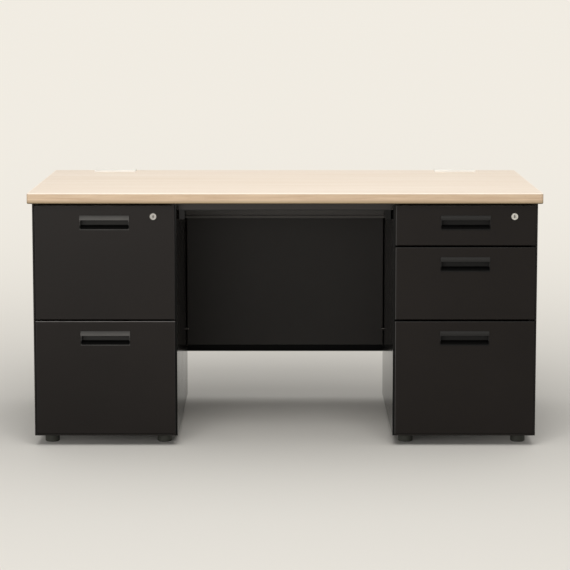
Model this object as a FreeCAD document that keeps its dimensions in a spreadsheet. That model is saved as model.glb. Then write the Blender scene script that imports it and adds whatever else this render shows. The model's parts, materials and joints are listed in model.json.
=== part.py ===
"""Steel pedestal desk with a woodgrain laminate top and five drawers.

+Z is up, +X is to the sitter's right and the drawers open towards -Y.
The origin lies on the floor, under the middle of the top.
"""
import FreeCAD, Part
import math
import os
from types import SimpleNamespace

import Sketcher

# Driving dimensions in millimetres: name, size, meaning
DRIVING = [
    ("desk_width", 1400, "whole desk, left to right"),
    ("desk_depth", 700, "whole desk, front to back"),
    ("desk_height", 700, "floor to working surface"),
    ("top_thickness", 29, "board and moulded edge"),
    ("edge_thickness", 4, "moulded edge round the board"),
    ("edge_top_round", 2.5, "upper rounding of the moulded edge"),
    ("edge_bottom_round", 3, "lower rounding of the moulded edge"),
    ("board_corner_round", 2, "corners of the board, inside its moulded edge"),
    ("side_overhang", 13, "top past the outer sides of the cases"),
    ("front_overhang", 12, "top past the drawer faces"),
    ("case_width", 392, "one pedestal, outside"),
    ("case_rear_inset", 112, "back of the cases before the rear edge of the top"),
    ("case_lift", 29.5, "floor to the underside of the case"),
    ("sheet", 1, "sheet steel of cases and drawers"),
    ("case_edge", 4.6, "folded front edge seen beside the drawer faces"),
    ("edge_setback", 1, "folded edge behind the drawer faces"),
    ("flange_reach", 14, "front flange, from the outer side of the case"),
    ("rear_flange", 14, "rear flange, from the outer side of the case"),
    ("panel_gap", 0.3, "between sheets that are welded into a case"),
    ("case_top_setback", 40, "front of the top sheet behind the drawer faces"),
    ("case_top_fold", 14, "turned-down edges of the top sheet"),
    ("case_bottom_fold", 12, "turned-up stop behind the lowest drawer face"),
    ("front_top_gap", 6, "underside of the top to the drawer faces"),
    ("front_bottom_gap", 4.5, "drawer faces above the underside of the case"),
    ("front_gap", 5, "between two drawer faces"),
    ("front_side_gap", 0.6, "drawer face to the folded edge of the case"),
    ("front_depth", 18, "thickness of a drawer front"),
    ("front_round", 2.2, "bent edges of a drawer front"),
    ("pen_front", 109, "height of the top right drawer front"),
    ("liner_inset", 2, "drawer liner inside the edge of its front"),
    ("closing_gap", 1, "closed drawer liner to the case flange"),
    ("box_lift", 12, "drawer box above the lower edge of its front"),
    ("box_rear_gap", 20, "drawer box before the back sheet of its case"),
    ("shallow_head_gap", 36, "upper edge of a shallow front to the rim of its box"),
    ("deep_head_gap", 62, "upper edge of a deep front to the rim of its box"),
    ("hem", 9, "height of the folded rim of a drawer box"),
    ("rail_height", 36, "fixed rail of a drawer slide"),
    ("rail_sheet", 1.2, "steel of the slides"),
    ("rail_bend", 1, "outer rounding where the slides are bent"),
    ("rail_setback", 2, "fixed rail behind the case flange"),
    ("rail_rear_gap", 11, "fixed rail before the back sheet of its case"),
    ("runner_setback", 3, "moving members behind the case flange"),
    ("slide_gap", 0.5, "ball space above and below a slide member"),
    ("slide_side_gap", 0.6, "slide member to its neighbour, sideways"),
    ("slide_lip", 10, "lips of the slide members"),
    ("post_width", 30, "upright posts that carry the rails"),
    ("post_front_inset", 60, "front posts behind the case flange"),
    ("post_rear_inset", 70, "rear posts before the back of the case"),
    ("handle_width", 135, "recessed pull"),
    ("handle_drop", 39, "upper edge of a front to the ridge of its pull"),
    ("lip_height", 12.5, "lip of the pull above its ridge"),
    ("ridge_height", 1, "blunt front of the ridge"),
    ("lip_reach", 6, "ridge of the pull before the drawer face"),
    ("lip_thickness", 3, "ridge of the pull"),
    ("lip_sweep", 15.7, "hollow curve of the lip"),
    ("grip_opening", 25, "finger opening below the ridge"),
    ("grip_back", 15, "upright back wall of the pull below its ridge"),
    ("cup_back_gap", 3.5, "pull before the drawer liner"),
    ("grip_rise", 7.5, "finger space above the ridge"),
    ("cup_wall", 1.2, "walls of the pull"),
    ("bezel_height", 3, "lower bezel of the pull"),
    ("bezel_side", 1.2, "side bezels of the pull"),
    ("bezel_proud", 1, "bezel before the drawer face"),
    ("seat_gap", 0.3, "insert in its cut-out"),
    ("lock_inset", 58, "lock from the right edge of its front"),
    ("lock_drop", 29.5, "lock below the upper edge of its front"),
    ("lock_bezel_radius", 10.3, "face of the lock"),
    ("lock_barrel_radius", 9, "body of the lock"),
    ("lock_proud", 2.4, "lock before the drawer face"),
    ("plug_radius", 6.5, "turning plug of the lock"),
    ("plug_gap", 0.06, "plug in its bore"),
    ("plug_recess", 0.9, "plug behind the face of its lock"),
    ("keyway_width", 2, "slot for the key"),
    ("keyway_height", 8.5, "slot for the key"),
    ("keyway_depth", 6, "slot for the key"),
    ("cam_length", 22, "lock cam from the plug's axis"),
    ("cam_width", 9, "lock cam"),
    ("cam_thickness", 2, "lock cam"),
    ("cam_gap", 0.5, "lock cam behind the liner"),
    ("foot_radius", 20, "foot pad"),
    ("foot_clear", 3.5, "collar of a foot below the underside of the case"),
    ("foot_round", 2, "edges of the foot pad"),
    ("foot_collar_radius", 9.5, "hexagon collar on the pad, to its corners"),
    ("foot_collar", 6, "height of the collar"),
    ("stud_radius", 5, "threaded stud of a foot"),
    ("stud_gap", 0.08, "stud in its nut"),
    ("stud_end", 3, "stud past its nut"),
    ("nut_radius", 9, "welded nut for a stud"),
    ("nut_height", 10, "welded nut for a stud"),
    ("foot_side_inset", 40, "foot from the side of the case"),
    ("foot_front_inset", 71, "front feet behind the drawer faces"),
    ("foot_rear_inset", 71, "rear feet before the back of the case"),
    ("front_rail_setback", 45, "front rail behind the edge of the top"),
    ("front_rail_height", 22, "front rail under the top"),
    ("front_rail_depth", 26, "front rail, front to back"),
    ("front_rail_gap", 4, "ends of the front rail to the cases"),
    ("bracket_setback", 10, "brackets behind the face of the front rail"),
    ("bracket_width", 20.5, "brackets under the ends of the front rail"),
    ("bracket_drop", 26, "brackets below the front rail"),
    ("bracket_depth", 34, "brackets along the case"),
    ("bracket_corner", 5, "slanted corner between the two legs of a bracket"),
    ("frame_steel", 1.6, "steel of the rail and its brackets"),
    ("beam_inset", 52, "lip of the rear beam before the back of the cases"),
    ("beam_drop", 100, "rear beam below the underside of the top"),
    ("beam_lip", 8, "height of the beam's folded lower lip"),
    ("beam_step", 6, "lip of the beam before its web"),
    ("beam_fold", 20, "top fold of the beam"),
    ("modesty_inset", 36, "face of the modesty panel before the back of the cases"),
    ("modesty_bottom", 187, "floor to the modesty panel"),
    ("modesty_top_gap", 12, "modesty panel below the underside of the top"),
    ("modesty_gap", 2.5, "modesty panel to the cases"),
    ("modesty_flange", 14, "side flanges of the modesty panel"),
    ("fixing_rise", 50, "fixings above the lower edge of the modesty panel"),
    ("fixing_setin", 7, "fixings before the face of the modesty panel"),
    ("fixing_head_radius", 4.5, "screw head"),
    ("fixing_head", 2.6, "screw head"),
    ("fixing_radius", 2, "screw shank"),
    ("fixing_gap", 0.1, "screw in its hole"),
    ("rear_inset", 9, "rear panel before the rear edge of the top"),
    ("rear_bottom", 145, "floor to the rear panel"),
    ("rear_top_fold", 8, "upper fold of the rear panel"),
    ("rear_bottom_fold", 16, "lower fold of the rear panel"),
    ("wiring_inset", 187, "middle of a wiring frame from the end of the top"),
    ("wiring_width", 124, "wiring frame"),
    ("wiring_depth", 56, "wiring frame"),
    ("wiring_margin", 10, "wiring frame before the rear edge of the top"),
    ("wiring_proud", 4.6, "wiring frame above the top"),
    ("wiring_border", 3, "rim of the wiring frame round its flaps"),
    ("wiring_ledge", 0.8, "ledge under the flaps"),
    ("wiring_bar", 4, "bar between two flaps"),
    ("wiring_round", 1.2, "edges of the wiring frame"),
    ("collar_side", 7, "collar inside the ends of its frame"),
    ("collar_front", 5, "collar behind the front of its frame"),
    ("collar_rear", 11, "collar before the rear of its frame"),
    ("collar_drop", 16, "collar below the surface of the top"),
    ("collar_wall", 1.6, "collar"),
    ("flap_gap", 0.4, "flap to its frame"),
    ("flap_lift", 0.3, "flap above its ledge"),
    ("flap_axis_inset", 2.8, "flap hinge before the rear rim"),
    ("pin_radius", 0.8, "hinge pin of a flap"),
    ("pin_gap", 0.06, "hinge pin in its hole"),
    ("pin_length", 1.5, "hinge pin in its hole"),
]


class Size:
    """A length: its number and the spreadsheet formula behind it."""

    def __init__(self, number, formula):
        self.number = float(number)
        self.formula = formula

    def __add__(self, other):
        other = as_size(other)
        return Size(self.number + other.number, f"({self.formula} + {other.formula})")

    def __sub__(self, other):
        other = as_size(other)
        return Size(self.number - other.number, f"({self.formula} - {other.formula})")

    def __mul__(self, factor):
        return Size(self.number * factor, f"({self.formula} * ({factor}))")

    def __truediv__(self, factor):
        return Size(self.number / factor, f"({self.formula} / ({factor}))")

    def __neg__(self):
        return self * -1


def limited(rounding, wall):
    """A rounding no larger than the wall that carries it."""
    return Size(min(rounding.number, wall.number), f"min({rounding.formula}; {wall.formula})")


def as_size(value):
    return value if isinstance(value, Size) else Size(value, f"{value} mm" if value else "0 mm")


doc = FreeCAD.newDocument("pedestal_desk")
sheet_table = doc.addObject("Spreadsheet::Sheet", "dims")
for row, (alias, number, meaning) in enumerate(DRIVING, 1):
    sheet_table.set(f"A{row}", alias)
    sheet_table.set(f"B{row}", str(number))
    sheet_table.set(f"C{row}", meaning)
    sheet_table.setAlias(f"B{row}", alias)
doc.recompute()
d = SimpleNamespace(**{alias: Size(number, f"dims.{alias} * 1 mm") for alias, number, _ in DRIVING})
ZERO = as_size(0)
subparts = []

# Coordinates closer than this count as equal
NEAR = 0.01


# Helpers: bodies, sketches and features whose sizes follow the sheet
def bind(item, prop, size):
    item.setExpression(prop, as_size(size).formula)


def new_body(name, place=(ZERO, ZERO, ZERO)):
    body = doc.addObject("PartDesign::Body", name)
    body.Label = name
    for axis, size in zip("xyz", place):
        bind(body, f"Placement.Base.{axis}", size)
    return body


def new_sketch(body, role, level):
    plane = next(item for item in body.Origin.OriginFeatures if item.Role == role)
    sketch = body.newObject("Sketcher::SketchObject", f"{body.Name}_sketch")
    sketch.AttachmentSupport = [(plane, "")]
    sketch.MapMode = "FlatFace"
    bind(sketch, "AttachmentOffset.Base.z", -level if role == "XZ_Plane" else level)
    return sketch


def pin_point(sketch, geometry, end, across, up):
    for kind, size in (("DistanceX", across), ("DistanceY", up)):
        index = sketch.addConstraint(Sketcher.Constraint(kind, -1, 1, geometry, end, size.number))
        sketch.setExpression(f"Constraints[{index}]", size.formula)


def pin_radius(sketch, geometry, radius):
    index = sketch.addConstraint(Sketcher.Constraint("Radius", geometry, radius.number))
    sketch.setExpression(f"Constraints[{index}]", radius.formula)


def point(corner):
    return FreeCAD.Vector(corner[0].number, corner[1].number, 0)


def arc_through(start, end, radius):
    """The shorter arc from start to end, bulging to the right of the way between them."""
    chord = end - start
    middle = (start + end) / 2
    side = FreeCAD.Vector(-chord.y, chord.x, 0).normalize()
    rise = (radius ** 2 - (chord.Length / 2) ** 2) ** 0.5
    crown = middle + side * (rise - radius)
    return Part.Arc(start, crown, end)


def draw_polygon(sketch, corners, arcs=None):
    """A closed outline; arcs gives the radius of each side that is an arc."""
    arcs = arcs or {}
    corners = [(as_size(across), as_size(up)) for across, up in corners]
    first = sketch.GeometryCount
    count = len(corners)
    for index, corner in enumerate(corners):
        start = point(corner)
        end = point(corners[(index + 1) % count])
        if index in arcs:
            sketch.addGeometry(arc_through(start, end, arcs[index].number))
        else:
            sketch.addGeometry(Part.LineSegment(start, end))
    for index, corner in enumerate(corners):
        before = (index - 1) % count
        ends = [1, 2]
        if index in arcs and sketch.Geometry[first + index].StartPoint.distanceToPoint(point(corner)) > NEAR:
            ends = [2, 1]
        last = 2
        if before in arcs and sketch.Geometry[first + before].EndPoint.distanceToPoint(point(corner)) > NEAR:
            last = 1
        sketch.addConstraint(Sketcher.Constraint("Coincident", first + before, last, first + index, ends[0]))
        pin_point(sketch, first + index, ends[0], *corner)
    for index, radius in arcs.items():
        pin_radius(sketch, first + index, radius)


def draw_circle(sketch, across, up, radius):
    across, up = as_size(across), as_size(up)
    centre = FreeCAD.Vector(across.number, up.number, 0)
    geometry = sketch.addGeometry(Part.Circle(centre, FreeCAD.Vector(0, 0, 1), radius.number))
    pin_point(sketch, geometry, 3, across, up)
    pin_radius(sketch, geometry, radius)


def rectangle(left, right, low, high):
    return [(left, low), (right, low), (right, high), (left, high)]


def hexagon(radius):
    turns = [math.radians(60 * corner) for corner in range(6)]
    return [(radius * math.cos(turn), radius * math.sin(turn)) for turn in turns]


def extrude(kind, body, role, start, end, loops=(), circles=(), arcs=None):
    """Pad or Pocket of outlines drawn on an origin plane, from start to end along its axis."""
    start, end = as_size(start), as_size(end)
    sketch = new_sketch(body, role, start)
    for loop in loops:
        draw_polygon(sketch, loop, arcs)
    for circle in circles:
        draw_circle(sketch, *circle)
    feature = body.newObject(f"PartDesign::{kind}", f"{body.Name}_{kind.lower()}")
    feature.Profile = sketch
    bind(feature, "Length", end - start)
    feature.Reversed = (role == "XZ_Plane") == (kind == "Pad")
    body.Tip = feature
    return feature


def pad(body, role, start, end, *loops, circles=(), arcs=None):
    return extrude("Pad", body, role, start, end, loops, circles, arcs)


def pocket(body, role, start, end, *loops, circles=()):
    """A cut that has to take material away."""
    doc.recompute()
    before = body.Shape.Volume
    feature = extrude("Pocket", body, role, start, end, loops, circles)
    doc.recompute()
    if not body.Shape.Volume < before:
        raise RuntimeError(f"{body.Label}: a cut takes nothing away")
    return feature


def round_edges(body, radius, chosen):
    """Fillet the edges whose box passes the test."""
    doc.recompute()
    base = body.Tip
    names = [f"Edge{i}" for i, edge in enumerate(base.Shape.Edges, 1) if chosen(edge.BoundBox)]
    if not names:
        raise RuntimeError(f"{body.Label}: no edge to round")
    feature = body.newObject("PartDesign::Fillet", f"{body.Name}_round")
    feature.Base = (base, names)
    bind(feature, "Radius", radius)
    body.Tip = feature


def turn(body, outline, arcs=None):
    """Revolve an outline of radius and height round the body's own Z axis."""
    sketch = new_sketch(body, "XZ_Plane", ZERO)
    draw_polygon(sketch, outline, arcs)
    feature = body.newObject("PartDesign::Revolution", f"{body.Name}_turn")
    feature.Profile = sketch
    feature.ReferenceAxis = (sketch, ["V_Axis"])
    body.Tip = feature


def at(size):
    """A test for a coordinate that equals a size."""
    return lambda value: abs(value - as_size(size).number) < NEAR


def upright(box):
    return box.ZLength > NEAR and box.XLength < NEAR and box.YLength < NEAR


def keep(item):
    subparts.append(item)
    return item


def group(name, items):
    """Separate solids that share one node."""
    compound = doc.addObject("Part::Compound", name)
    compound.Label = name
    compound.Links = items
    return keep(compound)


# Planes that several pieces share
top_underside = d.desk_height - d.top_thickness
front_edge_y = -d.desk_depth / 2
rear_edge_y = d.desk_depth / 2
face_y = front_edge_y + d.front_overhang
case_rear_y = rear_edge_y - d.case_rear_inset
back_sheet_y = case_rear_y - d.sheet * 2
case_half = d.case_width / 2
case_centre = d.desk_width / 2 - d.side_overhang - case_half
knee_half = case_centre - case_half
skin = case_half - d.sheet
edge_y = face_y + d.edge_setback
liner_y = face_y + d.front_depth
box_y = liner_y + d.sheet
box_rear_y = back_sheet_y - d.box_rear_gap
flange_y = box_y + d.closing_gap
flange_back_y = flange_y + d.sheet
front_low = d.case_lift + d.front_bottom_gap
front_high = top_underside - d.front_top_gap
front_half = case_half - d.case_edge - d.front_side_gap
deep_front = (front_high - front_low - d.front_gap) / 2
deep_high = front_low + deep_front
upper_low = deep_high + d.front_gap
pen_low = front_high - d.pen_front
modesty_y = case_rear_y - d.modesty_inset
front_rail_y = front_edge_y + d.front_rail_setback
front_rail_low = top_underside - d.front_rail_height
SIDES = {"left": -1, "right": 1}

# Slide members, measured from the middle of a case towards its side
moving_limit = case_half - d.flange_reach - d.slide_side_gap
rail_web = moving_limit + d.slide_side_gap
rail_back = rail_web + d.rail_sheet
middle_web = moving_limit - d.rail_sheet
box_half = moving_limit - d.slide_lip - d.rail_sheet * 2 - d.slide_side_gap
middle_height = d.rail_height - d.rail_sheet * 2 - d.slide_gap * 2
inner_height = middle_height - d.rail_sheet * 2 - d.slide_gap * 2

# Wiring frames
wiring_x = d.desk_width / 2 - d.wiring_inset
collar_half = d.wiring_width / 2 - d.collar_side
frame_rear_y = rear_edge_y - d.wiring_margin
frame_front_y = frame_rear_y - d.wiring_depth
hole_front_y = frame_front_y + d.collar_front
hole_rear_y = frame_rear_y - d.collar_rear
frame_top = d.desk_height + d.wiring_proud
ledge_top = d.desk_height + d.wiring_ledge
flap_low = ledge_top + d.flap_lift
flap_radius = (frame_top - flap_low) / 2
hinge_y = frame_rear_y - d.wiring_border - d.flap_axis_inset
hinge_z = flap_low + flap_radius

# Drawers: side, height of the front's lower and upper edge, head gap of the box, lock, full extension
DRAWERS = {
    "left_upper_drawer": ("left", upper_low, front_high, d.deep_head_gap, True, True),
    "left_lower_drawer": ("left", front_low, deep_high, d.deep_head_gap, False, True),
    "right_pen_drawer": ("right", pen_low, front_high, d.shallow_head_gap, True, False),
    "right_middle_drawer": ("right", upper_low, pen_low - d.front_gap, d.shallow_head_gap, False, False),
    "right_file_drawer": ("right", front_low, deep_high, d.deep_head_gap, False, True),
}


# Top
def make_desktop_board():
    body = new_body("desktop_board")
    across = d.desk_width / 2 - d.edge_thickness
    deep = d.desk_depth / 2 - d.edge_thickness
    pad(body, "XY_Plane", top_underside, d.desk_height, rectangle(-across, across, -deep, deep))
    holes = []
    for hand in SIDES.values():
        middle = wiring_x * hand
        reach = collar_half + d.seat_gap
        holes.append(rectangle(middle - reach, middle + reach,
                               hole_front_y - d.seat_gap, hole_rear_y + d.seat_gap))
    pocket(body, "XY_Plane", top_underside, d.desk_height, *holes)
    corner = at(across)
    round_edges(body, d.board_corner_round, lambda box: upright(box) and corner(abs(box.XMin)))
    keep(body)


def make_desktop_edge():
    """A ring round the board, with its outer edges rounded."""
    body = new_body("desktop_edge")
    across = d.desk_width / 2
    deep = d.desk_depth / 2
    inner_x = across - d.edge_thickness
    inner_y = deep - d.edge_thickness
    pad(body, "XY_Plane", top_underside, d.desk_height, rectangle(-across, across, -deep, deep))
    pocket(body, "XY_Plane", top_underside, d.desk_height, rectangle(-inner_x, inner_x, -inner_y, inner_y))
    corner = at(inner_x)
    round_edges(body, d.board_corner_round, lambda box: upright(box) and corner(abs(box.XMin)))
    corner = at(across)
    round_edges(body, d.board_corner_round + d.edge_thickness,
                lambda box: upright(box) and corner(abs(box.XMin)))

    def rim(height):
        level = at(height)
        return lambda box: (level(box.ZMin) and box.ZLength < NEAR and
                            (max(-box.XMin, box.XMax) > inner_x.number + NEAR or
                             max(-box.YMin, box.YMax) > inner_y.number + NEAR))

    wall = d.edge_thickness - d.panel_gap
    round_edges(body, limited(d.edge_top_round, wall), rim(d.desk_height))
    round_edges(body, limited(d.edge_bottom_round, wall), rim(top_underside))
    keep(body)


def make_wiring(side, hand):
    place = (wiring_x * hand, ZERO, ZERO)
    body = new_body(f"{side}_wiring_frame", place)
    half = d.wiring_width / 2
    pad(body, "XY_Plane", d.desk_height, frame_top, rectangle(-half, half, frame_front_y, frame_rear_y))
    rim = at(frame_top)
    round_edges(body, d.wiring_round, lambda box: upright(box) or (rim(box.ZMin) and box.ZLength < NEAR))
    pad(body, "XY_Plane", d.desk_height - d.collar_drop, d.desk_height,
        rectangle(-collar_half, collar_half, hole_front_y, hole_rear_y))
    well = half - d.wiring_border
    pocket(body, "XY_Plane", ledge_top, frame_top,
           rectangle(-well, well, frame_front_y + d.wiring_border, frame_rear_y - d.wiring_border))
    bore = collar_half - d.collar_wall
    pocket(body, "XY_Plane", d.desk_height - d.collar_drop, ledge_top,
           rectangle(-bore, bore, hole_front_y + d.collar_wall, hole_rear_y - d.collar_wall))
    bar = d.wiring_bar / 2
    pad(body, "XY_Plane", d.desk_height, frame_top,
        rectangle(-bar, bar, frame_front_y + d.wiring_border, frame_rear_y - d.wiring_border))
    reach = well + d.pin_length
    pocket(body, "YZ_Plane", -reach, reach, circles=[(hinge_y, hinge_z, d.pin_radius + d.pin_gap)])
    keep(body)
    for name, way in (("outer", hand), ("inner", -hand)):
        make_flap(f"{side}_wiring_flap_{name}", place, way)


def make_flap(name, place, way):
    body = new_body(name, place)
    near = d.wiring_bar / 2 + d.flap_gap
    far = d.wiring_width / 2 - d.wiring_border - d.flap_gap
    left, right = (near, far) if way > 0 else (-far, -near)
    tip = frame_front_y + d.wiring_border + d.flap_gap
    pad(body, "YZ_Plane", left, right, rectangle(tip, hinge_y, flap_low, frame_top))
    pad(body, "YZ_Plane", left, right, circles=[(hinge_y, hinge_z, flap_radius)])
    reach = d.flap_gap + d.pin_length - d.pin_gap
    pad(body, "YZ_Plane", left - reach, right + reach, circles=[(hinge_y, hinge_z, d.pin_radius)])
    keep(body)


# Pedestal cases: folded sheets, seen from above as profiles
def side_profile(hand):
    outline = [
        (case_half, case_rear_y),
        (case_half, edge_y),
        (case_half - d.case_edge, edge_y),
        (case_half - d.case_edge, flange_y),
        (case_half - d.flange_reach, flange_y),
        (case_half - d.flange_reach, flange_back_y),
        (case_half - d.case_edge + d.sheet, flange_back_y),
        (case_half - d.case_edge + d.sheet, edge_y + d.sheet),
        (skin, edge_y + d.sheet),
        (skin, case_rear_y - d.sheet),
        (case_half - d.rear_flange, case_rear_y - d.sheet),
        (case_half - d.rear_flange, case_rear_y),
    ]
    return [(across * hand, deep) for across, deep in outline]


def fixing_hole():
    """The hole for a screw that holds the modesty panel: depth, height and radius."""
    return modesty_y - d.fixing_setin, d.modesty_bottom + d.fixing_rise, d.fixing_radius + d.fixing_gap


def bracket_profile(hand):
    """The two legs of a bracket seen from above: one along the case, one across its front."""
    face = front_rail_y + d.bracket_setback
    corner = d.bracket_corner
    steel = d.frame_steel
    bend = steel * math.tan(math.pi / 8)
    outline = [
        (ZERO, face + corner), (corner, face), (d.bracket_width, face), (d.bracket_width, face + steel),
        (corner + bend, face + steel), (steel, face + corner + bend),
        (steel, face + d.bracket_depth), (ZERO, face + d.bracket_depth),
    ]
    return [(-(case_half + across) * hand, deep) for across, deep in outline]


def make_case_sides(side, hand):
    """Folded sides; the inner one carries a bracket for the front rail."""
    place = (case_centre * hand, ZERO, ZERO)
    outer = new_body(f"{side}_case_outer_side", place)
    pad(outer, "XY_Plane", d.case_lift, top_underside, side_profile(hand))
    keep(outer)
    inner = new_body(f"{side}_case_inner_side", place)
    pad(inner, "XY_Plane", d.case_lift, top_underside, side_profile(-hand))
    pad(inner, "XY_Plane", front_rail_low - d.bracket_drop, front_rail_low, bracket_profile(hand))
    start, end = (-case_half, -skin) if hand > 0 else (skin, case_half)
    pocket(inner, "YZ_Plane", start, end, circles=[fixing_hole()])
    keep(inner)


def make_case_back(side, hand):
    body = new_body(f"{side}_case_back", (case_centre * hand, ZERO, ZERO))
    half = skin - d.panel_gap
    rear = case_rear_y - d.sheet
    pad(body, "XY_Plane", d.case_lift, top_underside, rectangle(-half, half, rear - d.sheet, rear))
    keep(body)


def foot_places():
    """Feet of one case, from its middle: name, across towards its outer side, and depth."""
    across = case_half - d.foot_side_inset
    rows = (("front", face_y + d.foot_front_inset), ("rear", case_rear_y - d.foot_rear_inset))
    columns = (("outer", across), ("inner", -across))
    return [(f"{row}_{column}", x, y) for row, y in rows for column, x in columns]


def make_case_bottom(side, hand):
    """A sheet with the folded front edge and the stop behind the lowest drawer front."""
    body = new_body(f"{side}_case_bottom", (case_centre * hand, ZERO, ZERO))
    half = case_half - d.case_edge - d.panel_gap
    low = d.case_lift
    lip = front_low - d.front_side_gap
    rear = back_sheet_y - d.panel_gap
    stop = lip + d.case_bottom_fold
    profile = [
        (rear, low), (edge_y, low), (edge_y, lip), (flange_y, lip), (flange_y, stop),
        (flange_back_y, stop), (flange_back_y, lip - d.sheet), (edge_y + d.sheet, lip - d.sheet),
        (edge_y + d.sheet, low + d.sheet), (rear, low + d.sheet),
    ]
    pad(body, "YZ_Plane", -half, half, profile)
    tip = case_half - d.flange_reach - d.panel_gap
    corners = [rectangle(*ends, flange_y - d.panel_gap, flange_back_y + d.panel_gap)
               for ends in ((-half, -tip), (tip, half))]
    pocket(body, "XY_Plane", low, stop, *corners)
    studs = [(across * hand, deep) for _, across, deep in foot_places()]
    nut_top = low + d.sheet + d.nut_height
    pad(body, "XY_Plane", low, nut_top, circles=[(*stud, d.nut_radius) for stud in studs])
    pocket(body, "XY_Plane", low, nut_top, circles=[(*stud, d.stud_radius + d.stud_gap) for stud in studs])
    keep(body)


def make_case_top(side, hand):
    body = new_body(f"{side}_case_top", (case_centre * hand, ZERO, ZERO))
    half = skin
    front = face_y + d.case_top_setback
    rear = back_sheet_y
    high = top_underside
    profile = [
        (front, high - d.case_top_fold), (front + d.sheet, high - d.case_top_fold),
        (front + d.sheet, high - d.sheet), (rear - d.sheet, high - d.sheet),
        (rear - d.sheet, high - d.case_top_fold), (rear, high - d.case_top_fold),
        (rear, high), (front, high),
    ]
    pad(body, "YZ_Plane", -half, half, profile)
    keep(body)


def make_feet(side, hand):
    pad_radius = d.foot_radius
    collar_top = d.case_lift - d.foot_clear
    pad_top = collar_top - d.foot_collar
    stud_top = d.case_lift + d.sheet + d.nut_height + d.stud_end
    for name, across, deep in foot_places():
        body = new_body(f"{side}_{name}_foot", (case_centre * hand + across * hand, deep, ZERO))
        turn(body, [
            (ZERO, ZERO), (pad_radius - d.foot_round, ZERO), (pad_radius, d.foot_round),
            (pad_radius, pad_top - d.foot_round), (pad_radius - d.foot_round, pad_top),
            (d.stud_radius, pad_top), (d.stud_radius, stud_top), (ZERO, stud_top),
        ])
        pad(body, "XY_Plane", pad_top, collar_top, hexagon(d.foot_collar_radius))
        keep(body)


# Drawer slides: channels nested in one another
def slide_place(low, high, head_gap):
    """Height of a slide's middle: half way up the side of its box."""
    return (low + d.box_lift + high - head_gap) / 2


def channel(hand, section):
    """The outline of a channel: its web lies between web and back, and its lips reach to tip."""
    web, back, tip, middle, height = section
    low = middle - height / 2
    high = middle + height / 2
    outline = [
        (tip, low), (back, low), (back, high), (tip, high),
        (tip, high - d.rail_sheet), (web, high - d.rail_sheet),
        (web, low + d.rail_sheet), (tip, low + d.rail_sheet),
    ]
    return [(across * hand, up) for across, up in outline]


def make_channel(name, place, ends, hand, section):
    """A length of channel, rounded along its two bends."""
    body = new_body(name, place)
    pad(body, "XZ_Plane", *ends, channel(hand, section))
    _, back, _, middle, height = section
    bent = at(back * hand)
    levels = (at(middle - height / 2), at(middle + height / 2))
    round_edges(body, limited(d.rail_bend, d.rail_sheet),
                lambda box: (box.XLength < NEAR and box.ZLength < NEAR and
                             bent(box.XMin) and any(level(box.ZMin) for level in levels)))
    return body


def make_slide_frames(side, hand):
    """Posts on each side of a case, and the fixed rails on them."""
    place = (case_centre * hand, ZERO, ZERO)
    members = []
    for way, word in ((hand, "outer"), (-hand, "inner")):
        name = f"{side}_{word}_slide_frame"
        posts = (flange_back_y + d.post_front_inset, case_rear_y - d.post_rear_inset)
        for index, deep in enumerate(posts):
            post = new_body(f"{name}_post_{index}", place)
            front = deep - d.post_width / 2
            rear = deep + d.post_width / 2
            outline = [
                (skin, front), (rail_back, front), (rail_back, rear), (skin, rear),
                (skin, rear - d.rail_sheet), (rail_back + d.rail_sheet, rear - d.rail_sheet),
                (rail_back + d.rail_sheet, front + d.rail_sheet), (skin, front + d.rail_sheet),
            ]
            low = d.case_lift + d.sheet
            pad(post, "XY_Plane", low, top_underside - d.case_top_fold - d.panel_gap,
                [(across * way, y) for across, y in outline])
            members.append(post)
        for drawer, (drawer_side, low, high, head_gap, _, _) in DRAWERS.items():
            if drawer_side != side:
                continue
            ends = (flange_back_y + d.rail_setback, back_sheet_y - d.rail_rear_gap)
            middle = slide_place(low, high, head_gap)
            section = (rail_web, rail_back, rail_web - d.slide_lip, middle, d.rail_height)
            members.append(make_channel(f"{name}_{drawer}_rail", place, ends, way, section))
    group(f"{side}_slide_frames", members)


def make_runners(drawer, hand, middle, full):
    place = (case_centre * hand, ZERO, ZERO)
    ends = (flange_back_y + d.runner_setback, box_rear_y)
    inner_tip = middle_web - d.slide_side_gap if full else moving_limit
    height = inner_height if full else middle_height
    runner_section = (box_half + d.rail_sheet, box_half, inner_tip, middle, height)
    member_tip = middle_web - d.slide_lip + d.rail_sheet
    member_section = (middle_web, moving_limit, member_tip, middle, middle_height)
    runners = []
    members = []
    for way in (-1, 1):
        runners.append(make_channel(f"{drawer}_runner_{way + 1}", place, ends, way, runner_section))
        if full:
            members.append(make_channel(f"{drawer}_member_{way + 1}", place, ends, way, member_section))
    group(f"{drawer}_runners", runners)
    if full:
        group(f"{drawer}_middle_members", members)


# Drawers
def make_front(drawer, hand, low, high, lock):
    body = new_body(f"{drawer}_front", (case_centre * hand, ZERO, ZERO))
    half = front_half
    pad(body, "XZ_Plane", face_y, liner_y, rectangle(-half, half, low, high))
    face = at(face_y)
    round_edges(body, d.front_round, lambda box: face(box.YMin) and box.YLength < NEAR)
    inner = half - d.sheet
    pocket(body, "XZ_Plane", face_y + d.sheet, liner_y,
           rectangle(-inner, inner, low + d.sheet, high - d.sheet))
    ridge = high - d.handle_drop
    cup = cup_half() + d.seat_gap
    pocket(body, "XZ_Plane", face_y, face_y + d.sheet,
           rectangle(-cup, cup, ridge - d.grip_opening - d.cup_wall - d.seat_gap,
                     ridge + d.grip_rise + d.cup_wall + d.seat_gap))
    if lock:
        pocket(body, "XZ_Plane", face_y, face_y + d.sheet,
               circles=[(lock_across(), high - d.lock_drop, d.lock_barrel_radius + d.seat_gap)])
    keep(body)


def cup_half():
    return d.handle_width / 2 - d.bezel_side


def lock_across():
    return front_half - d.lock_inset


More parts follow.
